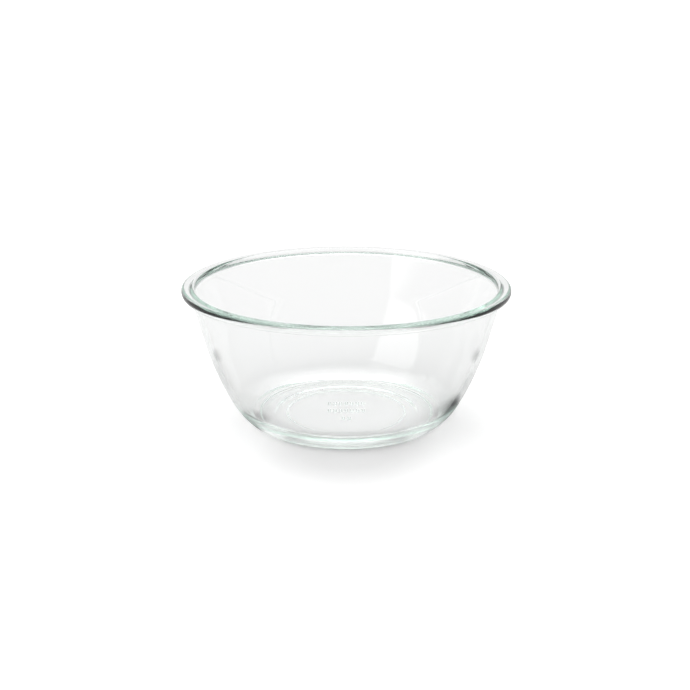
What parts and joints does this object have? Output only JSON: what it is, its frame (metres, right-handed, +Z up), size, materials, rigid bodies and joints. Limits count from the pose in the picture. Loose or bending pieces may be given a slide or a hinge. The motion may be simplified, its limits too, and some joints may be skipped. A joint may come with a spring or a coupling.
{
  "type": "mixing bowl",
  "caption": "Round clear pressed-glass mixing bowl with a rounded outward bead at the rim, a flared wall and a low foot ring.",
  "frame": {"origin": "centre of the foot ring, on the surface that the bowl stands on", "axes": "+Z up along the bowl's axis; the rows of bars on the underside run along X"},
  "size_m": [0.224, 0.224, 0.0975],
  "materials": {
    "clear_glass": "clear polished pressed glass with a faint green cast where it is thick"
  },
  "bodies": {
    "root": {"glass_bowl": "clear_glass"}
  },
  "joints": []
}
